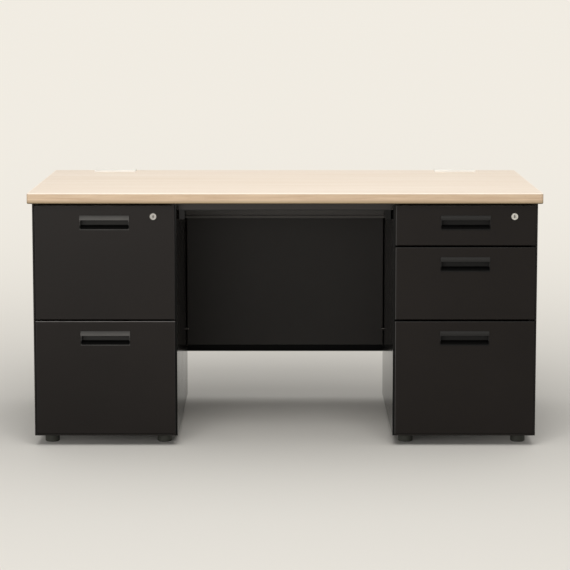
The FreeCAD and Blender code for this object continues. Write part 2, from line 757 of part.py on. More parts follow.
def make_box(drawer, hand, low, high, head_gap, lock):
    """An open tray with a hemmed rim, whose front wall is the liner that closes the drawer front."""
    body = new_body(f"{drawer}_box", (case_centre * hand, ZERO, ZERO))
    floor = low + d.box_lift
    rim = high - head_gap
    pad(body, "XY_Plane", floor, rim,
        rectangle(-box_half, box_half, liner_y, box_rear_y))
    inner = box_half - d.sheet
    pocket(body, "XY_Plane", floor + d.sheet, rim,
           rectangle(-inner, inner, box_y, box_rear_y - d.sheet))
    back = box_rear_y - d.sheet
    fold = inner - d.sheet
    pad(body, "XY_Plane", rim - d.hem, rim, [
        (-inner, box_y), (-fold, box_y), (-fold, back - d.sheet), (fold, back - d.sheet),
        (fold, box_y), (inner, box_y), (inner, back), (-inner, back),
    ])
    wide = front_half - d.liner_inset
    pad(body, "XZ_Plane", liner_y, box_y,
        rectangle(-wide, wide, low + d.liner_inset, high - d.liner_inset))
    if lock:
        pocket(body, "XZ_Plane", liner_y, box_y,
               circles=[(lock_across(), high - d.lock_drop, d.plug_radius + d.seat_gap)])
    keep(body)


def make_handle(drawer, hand, high):
    """A recessed pull: swept lip, finger opening with a sloping floor, and a thin bezel."""
    body = new_body(f"{drawer}_handle", (case_centre * hand, face_y, high - d.handle_drop))
    half = d.handle_width / 2
    bezel_low = -(d.grip_opening + d.bezel_height)
    pad(body, "YZ_Plane", -half, half,
        [(ZERO, d.lip_height), (-d.bezel_proud, d.lip_height), (-d.lip_reach, d.ridge_height),
         (-d.lip_reach, ZERO), (-d.bezel_proud, ZERO), (-d.bezel_proud, bezel_low), (ZERO, bezel_low)],
        arcs={1: d.lip_sweep})
    cup = cup_half()
    cup_low = -(d.grip_opening + d.cup_wall)
    cup_back = d.front_depth - d.cup_back_gap
    grip_depth = cup_back - d.cup_wall
    cup_high = d.grip_rise + d.cup_wall
    pad(body, "YZ_Plane", -cup, cup,
        [(ZERO, cup_low), (d.cup_wall, cup_low), (cup_back, -(d.grip_back + d.cup_wall)),
         (cup_back, cup_high), (ZERO, cup_high)])
    inner = cup - d.cup_wall
    pocket(body, "YZ_Plane", -inner, inner,
           [(-d.lip_reach, -d.grip_opening), (ZERO, -d.grip_opening), (grip_depth, -d.grip_back),
            (grip_depth, d.grip_rise), (d.lip_thickness, d.grip_rise),
            (-d.lip_reach + d.lip_thickness, ZERO), (-d.lip_reach, ZERO)])
    keep(body)


def make_lock(side, hand, high):
    """A barrel in the drawer front and the plug that turns in it, with its cam behind the liner."""
    place = (case_centre * hand + lock_across(), ZERO, high - d.lock_drop)
    barrel = new_body(f"{side}_lock_barrel", place)
    nose = face_y - d.lock_proud
    barrel_width = d.lock_barrel_radius * 2
    pad(barrel, "XZ_Plane", nose, face_y, circles=[(ZERO, ZERO, d.lock_bezel_radius)])
    pad(barrel, "XZ_Plane", face_y, liner_y - d.seat_gap, circles=[(ZERO, ZERO, d.lock_barrel_radius)])
    pocket(barrel, "XZ_Plane", nose, liner_y, circles=[(ZERO, ZERO, d.plug_radius + d.plug_gap)])
    tip = at(nose)
    round_edges(barrel, d.lock_proud / 2,
                lambda box: tip(box.YMin) and box.YLength < NEAR and box.XLength > barrel_width.number)
    keep(barrel)
    plug = new_body(f"{side}_lock_plug", place)
    cam_y = box_y + d.cam_gap
    plug_face = nose + d.plug_recess
    pad(plug, "XZ_Plane", plug_face, cam_y, circles=[(ZERO, ZERO, d.plug_radius)])
    across = d.cam_width / 2
    pad(plug, "XZ_Plane", cam_y, cam_y + d.cam_thickness,
        rectangle(-d.cam_length, d.plug_radius, -across, across))
    slot = d.keyway_width / 2
    rise = d.keyway_height / 2
    pocket(plug, "XZ_Plane", plug_face, plug_face + d.keyway_depth, rectangle(-slot, slot, -rise, rise))
    keep(plug)


def make_drawer(drawer, side, low, high, head_gap, lock, full):
    hand = SIDES[side]
    make_front(drawer, hand, low, high, lock)
    make_box(drawer, hand, low, high, head_gap, lock)
    make_handle(drawer, hand, high)
    make_runners(drawer, hand, slide_place(low, high, head_gap), full)
    if lock:
        make_lock(side, hand, high)


# Between the pedestals
def make_front_rail():
    """A channel under the top, on the brackets of the cases."""
    body = new_body("front_rail")
    half = knee_half - d.front_rail_gap
    front = front_rail_y
    rear = front + d.front_rail_depth
    low = front_rail_low
    steel = d.frame_steel
    pad(body, "YZ_Plane", -half, half, [
        (front, low), (rear, low), (rear, low + steel), (front + steel, low + steel),
        (front + steel, top_underside - steel), (rear, top_underside - steel),
        (rear, top_underside), (front, top_underside),
    ])
    keep(body)


def make_rear_beam():
    """A folded beam whose lower lip stands forward of its web."""
    body = new_body("rear_beam")
    lip = case_rear_y - d.beam_inset
    web = lip + d.beam_step
    low = top_underside - d.beam_drop
    step = low + d.beam_lip
    fold = modesty_y - d.panel_gap
    steel = d.rail_sheet
    pad(body, "YZ_Plane", -knee_half, knee_half, [
        (lip, low), (fold, low), (fold, low + steel), (lip + steel, low + steel),
        (lip + steel, step - steel), (web + steel, step - steel), (web + steel, top_underside - steel),
        (web + d.beam_fold, top_underside - steel), (web + d.beam_fold, top_underside),
        (web, top_underside), (web, step), (lip, step),
    ])
    keep(body)


def make_modesty_panel():
    """A sheet with side flanges that end below the beam."""
    body = new_body("modesty_panel")
    half = knee_half - d.modesty_gap
    front = modesty_y - d.modesty_flange
    high = top_underside - d.modesty_top_gap
    pad(body, "XY_Plane", d.modesty_bottom, high, [
        (-half, front), (-half + d.sheet, front), (-half + d.sheet, modesty_y), (half - d.sheet, modesty_y),
        (half - d.sheet, front), (half, front), (half, modesty_y + d.sheet), (-half, modesty_y + d.sheet),
    ])
    pocket(body, "YZ_Plane", -half, half, circles=[fixing_hole()])
    flange_top = top_underside - d.beam_drop - d.panel_gap
    pocket(body, "XY_Plane", flange_top, high, rectangle(-half, half, front, modesty_y))
    keep(body)


def make_modesty_fixings():
    """Screws through the panel's flanges, each with a spacer against the case."""
    items = []
    flange = knee_half - d.modesty_gap - d.sheet
    deep, high, _ = fixing_hole()
    for side, hand in SIDES.items():
        body = new_body(f"fixing_{side}")
        for start, end, radius in (
            (flange - d.fixing_head, flange, d.fixing_head_radius),
            (flange, knee_half + d.sheet, d.fixing_radius),
            (flange + d.sheet, knee_half, d.fixing_head_radius),
        ):
            left, right = (start, end) if hand > 0 else (-end, -start)
            pad(body, "YZ_Plane", left, right, circles=[(deep, high, radius)])
        items.append(body)
    group("modesty_fixings", items)


def make_rear_panel():
    """A pan that closes the wiring space behind the pedestals."""
    body = new_body("rear_panel")
    half = case_centre + case_half
    rear = rear_edge_y - d.rear_inset
    front = case_rear_y + d.panel_gap
    pad(body, "XY_Plane", d.rear_bottom, top_underside, [
        (-half, front), (-half + d.sheet, front), (-half + d.sheet, rear - d.sheet),
        (half - d.sheet, rear - d.sheet), (half - d.sheet, front), (half, front), (half, rear), (-half, rear),
    ])
    for fold, low in ((d.rear_top_fold, top_underside - d.sheet), (d.rear_bottom_fold, d.rear_bottom)):
        pad(body, "XY_Plane", low, low + d.sheet, rectangle(-half, half, rear - fold, rear))
    keep(body)


def make_all():
    make_desktop_board()
    make_desktop_edge()
    for side, hand in SIDES.items():
        make_wiring(side, hand)
        make_case_sides(side, hand)
        make_case_back(side, hand)
        make_case_bottom(side, hand)
        make_case_top(side, hand)
        make_slide_frames(side, hand)
        make_feet(side, hand)
    for drawer, facts in DRAWERS.items():
        make_drawer(drawer, *facts)
    make_front_rail()
    make_rear_beam()
    make_modesty_panel()
    make_modesty_fixings()
    make_rear_panel()


def write_all():
    doc.recompute()
    for item in doc.Objects:
        if "Invalid" in item.State or "Error" in item.State:
            raise RuntimeError(f"{item.Label} failed: {item.State}")
    for item in subparts:
        if item.Shape.isNull() or not item.Shape.isValid():
            raise RuntimeError(f"{item.Label} has no valid shape")
    os.makedirs("parts", exist_ok=True)
    for item in subparts:
        item.Shape.exportStep(f"parts/{item.Label}.step")


make_all()
write_all()
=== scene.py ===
"""Looks of the steel pedestal desk: finishes, small fittings, light and camera.

Lengths are in metres in the frame of the model: +Z up, +X to the sitter's right, drawers towards -Y.
"""
import json
import math

import bmesh
import bpy
from mathutils import Matrix, Vector

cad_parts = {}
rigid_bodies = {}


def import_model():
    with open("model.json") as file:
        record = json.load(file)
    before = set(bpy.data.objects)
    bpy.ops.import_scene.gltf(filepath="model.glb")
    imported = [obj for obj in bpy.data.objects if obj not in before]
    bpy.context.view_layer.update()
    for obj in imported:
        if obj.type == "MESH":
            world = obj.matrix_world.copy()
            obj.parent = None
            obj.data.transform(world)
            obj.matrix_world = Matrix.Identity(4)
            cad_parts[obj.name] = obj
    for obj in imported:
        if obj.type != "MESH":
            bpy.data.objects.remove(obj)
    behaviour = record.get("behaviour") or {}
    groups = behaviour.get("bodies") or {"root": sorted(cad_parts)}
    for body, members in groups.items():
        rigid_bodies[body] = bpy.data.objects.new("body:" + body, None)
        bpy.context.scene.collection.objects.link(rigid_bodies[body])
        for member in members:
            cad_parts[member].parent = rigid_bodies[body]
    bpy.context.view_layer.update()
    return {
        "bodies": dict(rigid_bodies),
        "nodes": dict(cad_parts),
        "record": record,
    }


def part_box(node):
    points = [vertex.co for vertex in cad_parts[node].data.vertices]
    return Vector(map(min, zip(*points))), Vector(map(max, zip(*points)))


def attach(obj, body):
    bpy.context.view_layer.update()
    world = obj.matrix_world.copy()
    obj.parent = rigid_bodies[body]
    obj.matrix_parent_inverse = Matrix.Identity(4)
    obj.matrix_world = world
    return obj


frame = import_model()
nodes = frame["nodes"]
MM = 0.001


# Node trees
MIDDLE = (0.3, 0.7)  # most values of a noise lie between these


def new_tree(name):
    """A new material, its node tree and its Principled shader."""
    material = bpy.data.materials.new(name)
    material.use_nodes = True
    tree = material.node_tree
    return material, tree, tree.nodes["Principled BSDF"]


def feed(tree, node, inputs):
    """Gives a node its inputs, each a fixed value or a socket to link."""
    for key, value in inputs.items():
        if isinstance(value, bpy.types.NodeSocket):
            tree.links.new(value, node.inputs[key])
        else:
            node.inputs[key].default_value = value


def add_node(tree, kind, inputs=None, **settings):
    """A new shader node with its settings and inputs."""
    node = tree.nodes.new(f"ShaderNode{kind}")
    for key, value in settings.items():
        setattr(node, key, value)
    feed(tree, node, inputs or {})
    return node


def place(tree):
    """Coordinates in the model's frame."""
    return add_node(tree, "TexCoord").outputs["Object"]


def facing(tree):
    """The direction in which the surface faces."""
    return add_node(tree, "NewGeometry").outputs["Normal"]


def split(tree, vector):
    """The outputs X, Y and Z of a vector."""
    return add_node(tree, "SeparateXYZ", {0: vector}).outputs


def merge(tree, operation, first, *others):
    """Numbers joined one after the other by a Math operation."""
    for other in others:
        first = add_node(tree, "Math", {0: first, 1: other}, operation=operation).outputs[0]
    return first


def noise(tree, vector, scale, detail=2.0, roughness=0.5, stretch=(1, 1, 1), distortion=0.0):
    """Noise with so many features per metre, drawn out where stretch is small."""
    mapped = add_node(tree, "Mapping", {"Vector": vector, "Scale": [scale * s for s in stretch]})
    return add_node(tree, "TexNoise", {"Vector": mapped.outputs["Vector"], "Scale": 1.0, "Detail": detail,
                                       "Roughness": roughness, "Distortion": distortion}).outputs["Fac"]


def spread(tree, value, low, high, start=0.0, end=1.0):
    """The value between start and end, mapped to low and high."""
    return add_node(tree, "MapRange", {"Value": value, "From Min": start, "From Max": end,
                                       "To Min": low, "To Max": high}).outputs["Result"]


def ramp(tree, value, start, end, full=1.0):
    """A share that grows from 0 at start to full at end; the end may lie below the start."""
    return spread(tree, value, 0, full, start, end)


def cover(tree, colour, *layers):
    """A colour under layers, each with its share and its own colour."""
    for share, layer in layers:
        colour = add_node(tree, "Mix", {0: share, 6: colour, 7: layer}, data_type="RGBA").outputs[2]
    return colour


def bump(tree, height, strength, depth):
    """The normal of a surface with fine relief."""
    return add_node(tree, "Bump", {"Height": height, "Strength": strength, "Distance": depth}).outputs["Normal"]


def rgb(red, green, blue):
    return (red, green, blue, 1.0)


def times(colour, factor):
    """A colour made lighter or darker."""
    return rgb(*(channel * factor for channel in colour[:3]))


# Wood
END_FACE = 0.7  # faces of the edge that point along X by more than this are at its ends


def along_grain(tree):
    """Coordinates whose X runs along the edge of the top, also round its ends."""
    where = place(tree)
    parts = split(tree, where)
    turned = add_node(tree, "CombineXYZ", {"X": parts["Y"], "Y": parts["X"], "Z": parts["Z"]}).outputs[0]
    endwise = add_node(tree, "Math", {0: split(tree, facing(tree))["X"]}, operation="ABSOLUTE").outputs[0]
    is_end = merge(tree, "GREATER_THAN", endwise, END_FACE)
    return add_node(tree, "Mix", {0: is_end, 4: where, 5: turned}, data_type="VECTOR").outputs[1]


def make_wood(name, along, figure_scale, tones, tint=None):
    """Woodgrain: broad figure, fine streaks and short pores; a tint may shade the whole."""
    material, tree, shader = new_tree(name)
    pale, warm, pore = tones
    grain = along(tree)
    figure = noise(tree, grain, figure_scale, detail=4, roughness=0.55, stretch=(0.05, 1, 1), distortion=0.5)
    streaks = noise(tree, grain, 420, detail=3, roughness=0.6, stretch=(0.02, 1, 1))
    pores = noise(tree, grain, 900, stretch=(0.045, 1, 1))
    colour = cover(tree, pale,
                   (ramp(tree, figure, *MIDDLE), warm),
                   (ramp(tree, streaks, 0.42, 0.75, 0.55), warm),
                   (ramp(tree, pores, 0.62, 0.74, 0.5), pore))
    if tint:
        colour = tint(tree, colour)
    feed(tree, shader, {"Base Color": colour,
                        "Roughness": spread(tree, streaks, 0.46, 0.56),
                        "Specular IOR Level": 0.3,
                        "Normal": bump(tree, pores, 0.06, 0.15 * MM)})
    return material


def tint_edge_light_and_shade(tree, colour):
    """Painted light on the edge: a painted highlight as a paler tone on the upper rounding, and painted shade
    on the lower part of the edge, darkest at the bottom.
    """
    low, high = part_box("desktop_edge")
    height = split(tree, place(tree))["Z"]
    return cover(tree, colour,
                 (ramp(tree, height, low.z + 11 * MM, low.z + 3 * MM, 0.9), rgb(0.31, 0.23, 0.13)),
                 (ramp(tree, height, low.z + 3.5 * MM, low.z + 1.0 * MM, 0.8), rgb(0.05, 0.037, 0.022)),
                 (ramp(tree, height, high.z - 3.2 * MM, high.z - 1.6 * MM), rgb(0.86, 0.77, 0.67)))


# Paint
CHARCOAL = rgb(0.0115, 0.0100, 0.0091)
INNER = rgb(0.0100, 0.0090, 0.0083)
FRONT = rgb(0.0078, 0.0061, 0.0053)
BLACK = rgb(0.0008, 0.0008, 0.0008)


def make_paint(name, colour, roughness, specular, tint=None, peel=0.10):
    """Powder coat: a fine orange peel, slight clouds in tone and gloss; a tint may shade the whole."""
    material, tree, shader = new_tree(name)
    where = place(tree)
    clouds = noise(tree, where, 5, detail=3)
    grains = noise(tree, where, 1500)
    waves = noise(tree, where, 420)
    tone = cover(tree, colour,
                 (ramp(tree, clouds, *MIDDLE), times(colour, 1.22)),
                 (ramp(tree, grains, 0.5, 0.8, 0.35), times(colour, 1.8)))
    if tint:
        tone = tint(tree, tone)
    feed(tree, shader, {"Base Color": tone,
                        "Roughness": spread(tree, clouds, roughness - 0.04, roughness + 0.05),
                        "Specular IOR Level": specular,
                        "Normal": bump(tree, waves, peel, 0.12 * MM)})
    return material


def tint_bends(low, high, left, right, upper):
    """A tint that paints highlights on the bends of a drawer front with the box from low to high, each by its
    own tone.
    """
    def painted_highlight(pale):
        return rgb(pale, 0.97 * pale, 0.95 * pale)

    def tint(tree, tone):
        parts = split(tree, place(tree))
        left_bend = merge(tree, "MULTIPLY",
                          ramp(tree, parts["X"], low.x + 0.7 * MM, low.x + 1.5 * MM),
                          ramp(tree, parts["X"], low.x + 3.2 * MM, low.x + 2.4 * MM))
        right_bend = ramp(tree, parts["X"], high.x - 2.0 * MM, high.x - 1.0 * MM)
        upper_bend = merge(tree, "MULTIPLY",
                           ramp(tree, parts["Z"], high.z - 1.2 * MM, high.z - 0.6 * MM),
                           ramp(tree, parts["Y"], low.y + 10 * MM, low.y + 5 * MM))
        return cover(tree, tone, (left_bend, painted_highlight(left)), (right_bend, painted_highlight(right)), (upper_bend, painted_highlight(upper)))
    return tint


def tint_inner(side, shade_bracket):
    """Painted shade: a tint that darkens the front rim of a case's inner side, and its bracket where asked."""
    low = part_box(f"{side}_case_inner_side")[0]
    rim, root = low.y + 1.0 * MM, low.x + 20 * MM

    def tint(tree, tone):
        parts = split(tree, place(tree))
        tone = cover(tree, tone, (ramp(tree, parts["Y"], rim + 0.5 * MM, rim), BLACK))
        if shade_bracket:
            tone = cover(tree, tone, (ramp(tree, parts["X"], root + 0.3 * MM, root), BLACK))
        return tone
    return tint


def tint_rail(tree, tone):
    """Painted shade: the lower bend of the front rail is dark."""
    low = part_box("front_rail")[0].z
    height = split(tree, place(tree))["Z"]
    return cover(tree, tone, (ramp(tree, height, low + 2.5 * MM, low + 1.7 * MM, 0.9), BLACK))


def tint_inside(tree, tone):
    """Painted shade: the inside of the rear panel, which faces forward, is dark."""
    return cover(tree, tone, (ramp(tree, split(tree, facing(tree))["Y"], -0.5, -0.9), BLACK))


# Plastic
def make_plastic(name, colour, roughness, specular, texture=1800):
    """Moulded plastic with a fine eroded surface."""
    material, tree, shader = new_tree(name)
    where = place(tree)
    grains = noise(tree, where, texture)
    clouds = noise(tree, where, 14)
    feed(tree, shader, {"Base Color": cover(tree, colour, (ramp(tree, clouds, *MIDDLE), times(colour, 1.12))),
                        "Roughness": spread(tree, grains, roughness - 0.05, roughness + 0.05),
                        "Specular IOR Level": specular,
                        "Normal": bump(tree, grains, 0.12, 0.06 * MM)})
    return material


def make_pull(name, face, crest, ridge, base, highlight_tone):
    """Black moulding of a pull in the front face: hands have polished its lip and the bezel under its opening,
    which are smoother and carry a painted highlight, paler on the left pulls.

    The lip reaches from the crest down to the ridge, its painted highlight growing towards the ridge; the floor
    of the opening is darkest, painted shade.
    """
    material, tree, shader = new_tree(name)
    where = place(tree)
    parts = split(tree, where)
    depth, height = parts["Y"], parts["Z"]
    lip = merge(tree, "MULTIPLY",
                ramp(tree, depth, face - 0.1 * MM, face - 0.8 * MM),
                spread(tree, height, 0.15, 1, crest, ridge + 1.5 * MM),
                ramp(tree, height, ridge - 6 * MM, ridge - 4 * MM))
    bezel = merge(tree, "MULTIPLY",
                  ramp(tree, depth, face, face - 0.5 * MM, 0.5),
                  ramp(tree, height, ridge - 22 * MM, ridge - 24 * MM))
    smears = noise(tree, where, 60, detail=3, roughness=0.6, stretch=(0.4, 1, 1))
    painted_highlight = merge(tree, "MULTIPLY", merge(tree, "MAXIMUM", lip, bezel), spread(tree, smears, 0.75, 1, *MIDDLE))
    # The floor of the opening is near black: painted shade
    floor = ramp(tree, height, ridge - 13 * MM, ridge - 16 * MM)
    grains = noise(tree, where, 1800)
    matt, polished = spread(tree, grains, 0.54, 0.66), 0.36
    feed(tree, shader, {"Base Color": cover(tree, rgb(base, 0.98 * base, 0.95 * base),
                                            (floor, rgb(0.0006, 0.0006, 0.0006)),
                                            (painted_highlight, rgb(highlight_tone, 0.97 * highlight_tone, 0.93 * highlight_tone))),
                        "Roughness": add_node(tree, "Mix", {0: painted_highlight, 2: matt, 3: polished}).outputs[0],
                        "Specular IOR Level": 0.09,
                        "Normal": bump(tree, grains, 0.12, 0.06 * MM)})
    return material


# Bare metal
def make_zinc(name, colour, roughness):
    """Rolled and plated steel: streaks along the rolling and a faint spangle."""
    material, tree, shader = new_tree(name)
    where = place(tree)
    streaks = noise(tree, where, 700, stretch=(1, 0.02, 1))
    spangle = noise(tree, where, 90, detail=3)
    feed(tree, shader, {"Base Color": cover(tree, colour, (ramp(tree, spangle, *MIDDLE), times(colour, 0.8))),
                        "Metallic": 1.0,
                        "Roughness": spread(tree, streaks, roughness - 0.08, roughness + 0.1),
                        "Normal": bump(tree, streaks, 0.05, 0.05 * MM)})
    return material


def make_nickel(name, centre, face, reach, colour):
    """Turned satin nickel: rings round the lock's axis, and darker zones.

    Behind the face it is darker as painted shade, the outer chamfer is darker as a painted dark reflection, and
    it is darker round the keyway.
    """
    material, tree, shader = new_tree(name)
    where = place(tree)
    offset = add_node(tree, "VectorMath", {0: where, 1: centre}, operation="SUBTRACT").outputs[0]
    across = add_node(tree, "VectorMath", {0: offset, 1: (1, 0, 1)}, operation="MULTIPLY").outputs[0]
    radius = add_node(tree, "VectorMath", {0: across}, operation="LENGTH").outputs["Value"]
    behind = ramp(tree, split(tree, where)["Y"], face + 1.3 * MM, face + 2.6 * MM)
    chamfer = ramp(tree, radius, reach - 2.1 * MM, reach - 1.5 * MM, 0.85)
    keyway = ramp(tree, radius, 3.4 * MM, 1.2 * MM, 0.6)
    darkening = merge(tree, "MAXIMUM", behind, chamfer, keyway)
    rings = noise(tree, radius, 2600)
    stains = noise(tree, where, 260, detail=3)
    feed(tree, shader, {"Base Color": cover(tree, colour,
                                            (ramp(tree, stains, *MIDDLE), times(colour, 0.8)),
                                            (darkening, rgb(0.02, 0.019, 0.017))),
                        "Metallic": 1.0,
                        "Roughness": spread(tree, rings, 0.38, 0.52),
                        "Normal": bump(tree, rings, 0.08, 0.04 * MM)})
    return material


# Finishes by slot, and those of pieces that have one of their own
FINISHES = {
    "laminate": make_wood("maple_laminate", place, 26, (
        rgb(0.81, 0.72, 0.63), rgb(0.75, 0.645, 0.535), rgb(0.60, 0.48, 0.36))),
    "edge": make_wood("maple_edge", along_grain, 150, (
        rgb(0.68, 0.525, 0.37), rgb(0.525, 0.38, 0.257), rgb(0.37, 0.25, 0.147)), tint_edge_light_and_shade),
    "paint": make_paint("charcoal_paint", CHARCOAL, 0.38, 0.10),
    # A lighter copy of the charcoal paint: painted light on the modesty panel in the shade under the top
    "panel": make_paint("panel_paint", rgb(0.0187, 0.0170, 0.0156), 0.40, 0.12),
    "right_inner": make_paint("right_inner_paint", INNER, 0.14, 0.18, tint_inner("right", True), 0.02),
    "left_inner": make_paint("left_inner_paint", INNER, 0.14, 0.11, tint_inner("left", False), 0.02),
    "rear": make_paint("rear_paint", CHARCOAL, 0.40, 0.06, tint_inside),
    # Near black: painted shade on the case tops, seen in the gap above the drawers
    "shade": make_paint("shade_paint", rgb(0.0030, 0.0027, 0.0025), 0.5, 0.02),
    "rail": make_paint("rail_paint", rgb(0.024, 0.0215, 0.020), 0.42, 0.22, tint_rail),
    # A lighter copy of the charcoal paint: painted light on the rear beam under the top
    "beam": make_paint("beam_paint", rgb(0.046, 0.042, 0.038), 0.42, 0.28),
    "drawer": make_paint("drawer_paint", rgb(0.045, 0.043, 0.041), 0.45, 0.4),
    "slide": make_zinc("zinc_slide", rgb(0.60, 0.60, 0.58), 0.36),
    "handle": make_plastic("black_rubber", rgb(0.0085, 0.0085, 0.0085), 0.5, 0.4),
    "foot": make_plastic("foot_plastic", rgb(0.052, 0.053, 0.045), 0.55, 0.2, 1200),
    "wiring": make_plastic("ivory_plastic", rgb(0.77, 0.755, 0.71), 0.42, 0.4),
    "screw": make_zinc("black_screw", rgb(0.075, 0.072, 0.068), 0.34),
}
# Painted pieces with a finish of their own: the modesty panel and rear beam take lighter copies of the paint as
# painted light, the case tops a near-black one as painted shade
TONES = {
    "left_case_top": "shade", "right_case_top": "shade",
    "left_case_inner_side": "left_inner", "right_case_inner_side": "right_inner",
    "front_rail": "rail", "rear_beam": "beam", "modesty_panel": "panel", "rear_panel": "rear",
}
# How pale the painted highlights are on the bends of the drawer fronts: on their left and right bends by side,
# and on the upper bend by front
BENDS = {"left": (0.014, 0.026), "right": (0.052, 0.016)}
UPPER_BENDS = {
    "left_upper_drawer_front": 0.09, "left_lower_drawer_front": 0.19,
    "right_pen_drawer_front": 0.08, "right_middle_drawer_front": 0.016, "right_file_drawer_front": 0.016,
}
# Tones of the pulls by side, plain and with the painted highlight, which is paler on the left, and how far the
# ridge of the lip lies below their upper edge
PULLS = {"left": (0.033, 0.092), "right": (0.0175, 0.0190)}
RIDGE_DROP = 12.5 * MM
# The nickel of the locks: that of the left one is a darker copy of the same nickel, painted shade
NICKEL = {
    "left_lock_barrel": rgb(0.385, 0.373, 0.352), "left_lock_plug": rgb(0.32, 0.31, 0.293),
    "right_lock_barrel": rgb(0.65, 0.632, 0.595), "right_lock_plug": rgb(0.51, 0.495, 0.467),
}


def finish_of(node, slot):
    """The material of a node: one laid out on a drawer front, a pull or a lock, or else from FINISHES."""
    side, kind = node.split("_")[0], node.split("_")[-1]
    if kind == "front":
        tint = tint_bends(*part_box(node), *BENDS[side], UPPER_BENDS[node])
        return make_paint(f"{node}_paint", FRONT, 0.36, 0.135, tint)
    if slot == "handle":
        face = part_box(node.replace("_handle", "_front"))[0].y
        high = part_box(node)[1]
        return make_pull(f"{node}_plastic", face, high.z, high.z - RIDGE_DROP, *PULLS[side])
    if slot == "lock":
        low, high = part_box(f"{side}_lock_barrel")
        return make_nickel(f"{node}_nickel", (low + high) / 2, low.y, (high.z - low.z) / 2, NICKEL[node])
    return FINISHES[TONES.get(node, slot)]


def dress_nodes():
    """Gives every node its material."""
    for row in frame["record"]["subparts"]:
        item = nodes[row["node"]]
        item.data.materials.clear()
        item.data.materials.append(finish_of(row["node"], row["material_slot"]))


# Edges of sheet metal, plastic and steel are never sharp: width of the bevel by slot, in millimetres
BEVELS = {"paint": 0.45, "drawer": 0.4, "slide": 0.35, "handle": 0.35, "lock": 0.25, "foot": 0.6,
          "wiring": 0.4, "screw": 0.3}
BEVEL_SEGMENTS = 2
BEVEL_ANGLE = math.radians(40)
WELD_REACH = 0.002 * MM


def soften_edges():
    """Rounds the sharp edges of the nodes by modifiers."""
    for row in frame["record"]["subparts"]:
        width = BEVELS.get(row["material_slot"])
        if not width:
            continue
        item = nodes[row["node"]]
        weld = item.modifiers.new("weld", "WELD")
        weld.merge_threshold = WELD_REACH
        bevel = item.modifiers.new("bevel", "BEVEL")
        bevel.width = width * MM
        bevel.segments = BEVEL_SEGMENTS
        bevel.limit_method = "ANGLE"
        bevel.angle_limit = BEVEL_ANGLE
        weighted = item.modifiers.new("weighted", "WEIGHTED_NORMAL")
        weighted.keep_sharp = True


# Small fittings are turned: the rings of a profile are shares of its radius and height, and some are hexagons
SEGMENTS = 24
HEXAGON = 6
PAN_HEAD = ((1, 0), (1, 0.35), (0.93, 0.7), (0.75, 0.93), (0.55, 1), (0.45, 1, HEXAGON), (0.43, 0.3, HEXAGON))
RUBBER_DOT = ((1, 0), (1, 0.45), (0.82, 0.85), (0.45, 1))
SHARP_ANGLE = math.radians(35)


def ring_points(radius, height, corners=0):
    """The points of one ring; with corners, a polygon of that outer radius."""
    points = []
    for step in range(SEGMENTS):
        angle = math.tau * step / SEGMENTS
        reach = radius
        if corners:
            half = math.pi / corners
            reach = radius * math.cos(half) / math.cos(angle % (2 * half) - half)
        points.append(Vector((reach * math.cos(angle), reach * math.sin(angle), height)))
    return points


def sized(profile, radius, height):
    """The rings of a profile in their real size."""
    return [(radius * across, height * up, *corners) for across, up, *corners in profile]


def add_turned(mesh, rings, foot, outward):
    """A closed turned shape whose axis leaves the surface at foot."""
    turn = Vector(outward).to_track_quat("Z", "Y").to_matrix().to_4x4()
    seat = Matrix.Translation(foot) @ turn
    loops = [[mesh.verts.new(seat @ point) for point in ring_points(*ring)] for ring in rings]
    for lower, upper in zip(loops, loops[1:]):
        for step in range(SEGMENTS):
            after = (step + 1) % SEGMENTS
            mesh.faces.new((lower[step], lower[after], upper[after], upper[step]))
    mesh.faces.new(loops[0][::-1])
    mesh.faces.new(loops[-1])


def add_piece(name, body, slot, rings, seats):
    """One piece of several turned fittings, each with its foot and outward direction."""
    shape = bmesh.new()
    for foot, outward in seats:
        add_turned(shape, rings, foot, outward)
    mesh = bpy.data.meshes.new(name)
    shape.to_mesh(mesh)
    shape.free()
    mesh.polygons.foreach_set("use_smooth", [True] * len(mesh.polygons))
    mesh.set_sharp_from_angle(angle=SHARP_ANGLE)
    mesh.materials.append(FINISHES[slot])
    piece = bpy.data.objects.new(name, mesh)
    bpy.context.collection.objects.link(piece)
    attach(piece, body)


DRAWERS = [body for body in frame["bodies"] if body.endswith("_drawer")]
SHEET = 1.0 * MM  # thickness of the drawer boxes


def fit_runner_screws(drawer):
    """Screws through the sides of a drawer box into its runners."""
    low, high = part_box(f"{drawer}_runners")
    middle = (low + high) / 2
    reach = min(abs(vertex.co.x - middle.x) for vertex in nodes[f"{drawer}_runners"].data.vertices)
    inset = 45 * MM
    seats = []
    for way in (-1, 1):
        for depth in (low.y + inset, middle.y, high.y - inset):
            seats.append((Vector((middle.x + way * (reach - SHEET), depth, middle.z)), (-way, 0, 0)))
    rings = sized(PAN_HEAD, radius=4.2 * MM, height=1.9 * MM)
    add_piece(f"{drawer}_runner_screws", drawer, "slide", rings, seats)


def fit_bumpers(drawer):
    """Rubber dots on the liner that meet the folded edge of the case."""
    low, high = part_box(f"{drawer}_box")
    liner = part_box(f"{drawer}_front")[1].y + SHEET
    across, up = 3.5 * MM, 16 * MM
    seats = [(Vector((x, liner, z)), (0, 1, 0))
             for x in (low.x + across, high.x - across) for z in (low.z + up, high.z - up)]
    rings = sized(RUBBER_DOT, radius=2.6 * MM, height=0.8 * MM)
    add_piece(f"{drawer}_bumpers", drawer, "handle", rings, seats)


